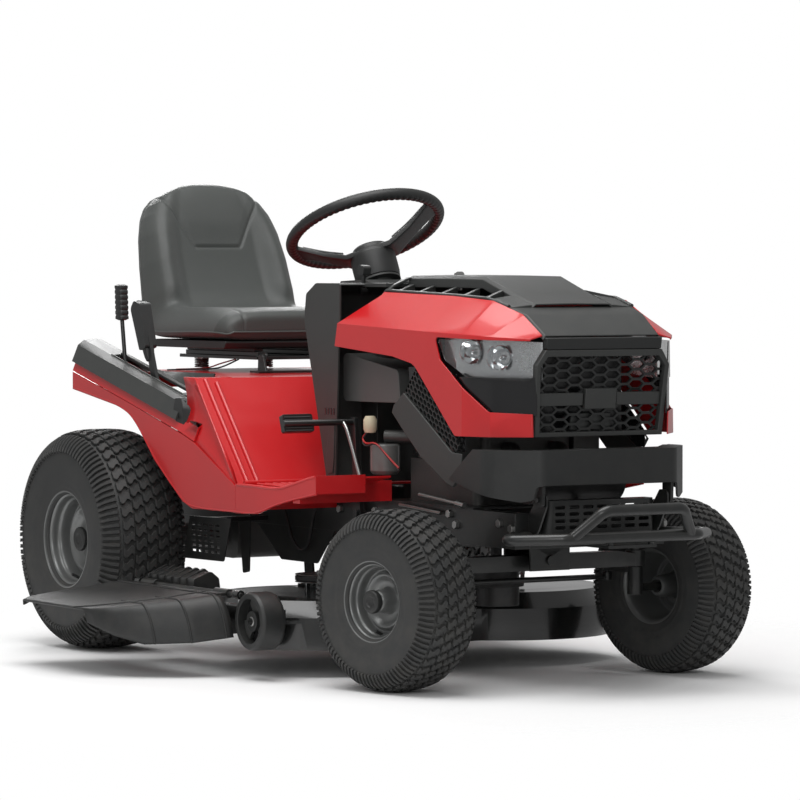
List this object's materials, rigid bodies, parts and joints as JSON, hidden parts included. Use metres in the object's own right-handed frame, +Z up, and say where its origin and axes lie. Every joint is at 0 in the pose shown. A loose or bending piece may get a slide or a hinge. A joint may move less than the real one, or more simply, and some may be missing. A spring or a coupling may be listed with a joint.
{
  "type": "riding lawn mower",
  "caption": "Front-engine riding mower with seat, steering wheel, tilting hood, belly-mounted side-discharge deck, pivoting front axle and a hinged discharge deflector.",
  "frame": {"origin": "middle of the machine's footprint, on the ground", "axes": "+X forward, +Y to the driver's left, +Z up"},
  "size_m": [1.9355, 1.3008, 1.0832],
  "materials": {
    "frame_black": "satin black",
    "red_plastic": "glossy red moulding",
    "grey_plastic": "textured dark grey moulding",
    "black_plastic": "black moulding",
    "engine_grey": "cast",
    "engine_black": "satin",
    "filter_black": "satin",
    "tank_grey": "polyethylene",
    "bare_steel": "zinc plated",
    "belt": "matte",
    "tyre": "matte",
    "rim_paint": "silver grey",
    "lamp_clear": "clear",
    "lamp_black": "gloss black",
    "vinyl": "grained vinyl",
    "deck_paint": "gloss black",
    "battery_black": "moulded"
  },
  "bodies": {
    "root": {"frame": "frame_black", "front_bumper": "frame_black", "muffler_guard": "frame_black", "body_rear": "red_plastic", "footboards": "red_plastic", "fender_trims": "grey_plastic", "dash_console": "grey_plastic", "engine_block": "engine_grey", "engine_shroud": "engine_black", "muffler": "engine_black", "oil_filter": "filter_black", "fuel_tank": "tank_grey", "battery": "battery_black", "transaxle": "engine_grey", "drive_belt": "belt", "seat_hinge": "frame_black"},
    "fuel_cap": {"fuel_cap": "black_plastic"},
    "transaxle_pulley": {"transaxle_pulley": "bare_steel"},
    "engine_pulley": {"engine_pulley": "bare_steel"},
    "steering_wheel": {"steering_wheel": "black_plastic"},
    "steering_pinion": {"steering_pinion": "bare_steel"},
    "sector_gear": {"sector_gear": "bare_steel"},
    "front_axle": {"front_axle": "frame_black"},
    "knuckle_right": {"knuckle_right": "frame_black"},
    "knuckle_left": {"knuckle_left": "frame_black"},
    "tie_rod": {"tie_rod": "bare_steel"},
    "drag_link": {"drag_link": "bare_steel"},
    "front_wheel_right": {"front_tyre_right": "tyre", "front_rim_right": "rim_paint"},
    "front_wheel_left": {"front_tyre_left": "tyre", "front_rim_left": "rim_paint"},
    "rear_wheel_right": {"rear_tyre_right": "tyre", "rear_rim_right": "rim_paint"},
    "rear_wheel_left": {"rear_tyre_left": "tyre", "rear_rim_left": "rim_paint"},
    "hood": {"hood_sides": "red_plastic", "hood_top": "grey_plastic", "grille": "black_plastic", "side_grilles": "black_plastic", "front_fascia": "black_plastic", "headlights": "lamp_clear", "headlight_housings": "lamp_black"},
    "seat_frame": {"seat_frame": "frame_black", "seat_springs": "bare_steel"},
    "seat": {"seat_pan": "black_plastic", "seat_cushion": "vinyl", "seat_back": "vinyl"},
    "height_lever": {"height_lever": "black_plastic"},
    "drive_lever": {"drive_lever": "black_plastic"},
    "pedal": {"pedal": "frame_black"},
    "throttle_lever": {"throttle_lever": "black_plastic"},
    "ignition_key": {"ignition_key": "bare_steel"},
    "deck": {"deck_shell": "deck_paint", "deck_fittings": "frame_black", "blade_belt": "belt"},
    "blade_right": {"blade_right": "bare_steel"},
    "blade_left": {"blade_left": "bare_steel"},
    "deflector": {"deflector": "black_plastic"},
    "scalp_wheel_right": {"scalp_wheel_right": "black_plastic"},
    "scalp_wheel_left": {"scalp_wheel_left": "black_plastic"}
  },
  "joints": [
    {"name": "steering_wheel_turn", "type": "hinge", "parent": "root", "child": "steering_wheel", "pos_m": [-0.151, 0.1265, 0.97], "axis": [-0.454, 0, 0.891], "range_deg": [-207.1, 93.1]},
    {"name": "steering_pinion_turn", "type": "hinge", "parent": "root", "child": "steering_pinion", "pos_m": [0.089, 0.1265, 0.3], "axis": [0, 0, 1], "range_deg": [-207.2, 93.2]},
    {"name": "sector_turn", "type": "hinge", "parent": "root", "child": "sector_gear", "pos_m": [0.009, 0.1265, 0.303], "axis": [0, 0, 1], "range_deg": [-41.6, 18.8]},
    {"name": "axle_rock", "type": "hinge", "parent": "root", "child": "front_axle", "pos_m": [0.559, 0.1265, 0.262], "axis": [1, 0, 0], "range_deg": [-4, 4]},
    {"name": "knuckle_right_turn", "type": "hinge", "parent": "front_axle", "child": "knuckle_right", "pos_m": [0.559, -0.1285, 0.1905], "axis": [0, 0, 1], "range_deg": [-41.6, 18.8]},
    {"name": "knuckle_left_turn", "type": "hinge", "parent": "front_axle", "child": "knuckle_left", "pos_m": [0.559, 0.3815, 0.1905], "axis": [0, 0, 1], "range_deg": [-41.6, 18.8]},
    {"name": "tie_rod_pivot", "type": "hinge", "parent": "knuckle_right", "child": "tie_rod", "pos_m": [0.47568, -0.1453, 0.229], "axis": [0, 0, 1], "range_deg": [-19, 41.8]},
    {"name": "drag_link_pivot", "type": "hinge", "parent": "knuckle_right", "child": "drag_link", "pos_m": [0.47568, -0.1453, 0.244], "axis": [0, 0, 1], "range_deg": [-19, 41.8]},
    {"name": "front_wheel_right_spin", "type": "hinge", "parent": "knuckle_right", "child": "front_wheel_right", "pos_m": [0.58173, -0.24123, 0.1905], "axis": [-0.1977, 0.9803, 0], "continuous": true},
    {"name": "front_wheel_left_spin", "type": "hinge", "parent": "knuckle_left", "child": "front_wheel_left", "pos_m": [0.53627, 0.49423, 0.1905], "axis": [-0.1977, 0.9803, 0], "continuous": true},
    {"name": "rear_wheel_right_spin", "type": "hinge", "parent": "root", "child": "rear_wheel_right", "pos_m": [-0.641, -0.2935, 0.254], "axis": [0, 1, 0], "continuous": true},
    {"name": "rear_wheel_left_spin", "type": "hinge", "parent": "root", "child": "rear_wheel_left", "pos_m": [-0.641, 0.5465, 0.254], "axis": [0, 1, 0], "continuous": true},
    {"name": "engine_crank_spin", "type": "hinge", "parent": "root", "child": "engine_pulley", "pos_m": [0.399, 0.1265, 0.3], "axis": [0, 0, 1], "continuous": true},
    {"name": "transaxle_pulley_spin", "type": "hinge", "parent": "root", "child": "transaxle_pulley", "pos_m": [-0.581, 0.1265, 0.335], "axis": [0, 0, 1], "continuous": true},
    {"name": "hood_tilt", "type": "hinge", "parent": "root", "child": "hood", "pos_m": [0.814, 0.1265, 0.405], "axis": [0, 1, 0], "range_deg": [0, 60]},
    {"name": "seat_tilt", "type": "hinge", "parent": "root", "child": "seat_frame", "pos_m": [-0.441, 0.1265, 0.672], "axis": [0, 1, 0], "range_deg": [0, 60]},
    {"name": "seat_slide", "type": "slide", "parent": "seat_frame", "child": "seat", "axis": [1, 0, 0], "range_m": [-0.03, 0.02]},
    {"name": "height_lever_turn", "type": "hinge", "parent": "root", "child": "height_lever", "pos_m": [-0.374, 0.1265, 0.48], "axis": [0, 1, 0], "range_deg": [-9.6, 11.2]},
    {"name": "deck_lift", "type": "slide", "parent": "root", "child": "deck", "axis": [0, 0, 1], "range_m": [-0.036, 0.031]},
    {"name": "drive_lever_turn", "type": "hinge", "parent": "root", "child": "drive_lever", "pos_m": [-0.589, -0.2535, 0.6], "axis": [0, 1, 0], "range_deg": [-10, 10]},
    {"name": "pedal_press", "type": "hinge", "parent": "root", "child": "pedal", "pos_m": [0.159, -0.0735, 0.345], "axis": [0, 1, 0], "range_deg": [0, 16], "stiffness_Nm_per_rad": 6, "springref_deg": -11.46},
    {"name": "throttle_turn", "type": "hinge", "parent": "root", "child": "throttle_lever", "pos_m": [0.068, -0.0115, 0.832], "axis": [0, 1, 0], "range_deg": [-15, 35]},
    {"name": "key_turn", "type": "hinge", "parent": "root", "child": "ignition_key", "pos_m": [0.059, 0.2465, 0.84], "axis": [0, 0, 1], "range_deg": [-90, 0]},
    {"name": "fuel_cap_turn", "type": "hinge", "parent": "root", "child": "fuel_cap", "pos_m": [0.149, 0.0015, 0.71], "axis": [0, 0, 1], "range_deg": [0, 120]},
    {"name": "blade_right_spin", "type": "hinge", "parent": "deck", "child": "blade_right", "pos_m": [0.049, -0.1055, 0.1], "axis": [0, 0, 1], "continuous": true},
    {"name": "blade_left_spin", "type": "hinge", "parent": "deck", "child": "blade_left", "pos_m": [0.049, 0.3585, 0.1], "axis": [0, 0, 1], "continuous": true},
    {"name": "deflector_lift", "type": "hinge", "parent": "deck", "child": "deflector", "pos_m": [-0.081, -0.3735, 0.178], "axis": [-1, 0, 0], "range_deg": [0, 75]},
    {"name": "scalp_wheel_right_spin", "type": "hinge", "parent": "deck", "child": "scalp_wheel_right", "pos_m": [0.233, -0.3675, 0.127], "axis": [0, 1, 0], "continuous": true},
    {"name": "scalp_wheel_left_spin", "type": "hinge", "parent": "deck", "child": "scalp_wheel_left", "pos_m": [0.233, 0.6205, 0.127], "axis": [0, 1, 0], "continuous": true}
  ],
  "couplings": [
    {"joint": "steering_pinion_turn", "follows": "steering_wheel_turn", "ratio": 1},
    {"joint": "sector_turn", "follows": "steering_wheel_turn", "ratio": 0.2},
    {"joint": "knuckle_right_turn", "follows": "steering_wheel_turn", "ratio": 0.2},
    {"joint": "knuckle_left_turn", "follows": "steering_wheel_turn", "ratio": 0.2},
    {"joint": "tie_rod_pivot", "follows": "steering_wheel_turn", "ratio": -0.2},
    {"joint": "drag_link_pivot", "follows": "steering_wheel_turn", "ratio": -0.2},
    {"joint": "deck_lift", "follows": "height_lever_turn", "m_per_rad": -0.178},
    {"joint": "transaxle_pulley_spin", "follows": "engine_crank_spin", "ratio": 1},
    {"joint": "blade_right_spin", "follows": "engine_crank_spin", "ratio": 1},
    {"joint": "blade_left_spin", "follows": "engine_crank_spin", "ratio": 1}
  ]
}
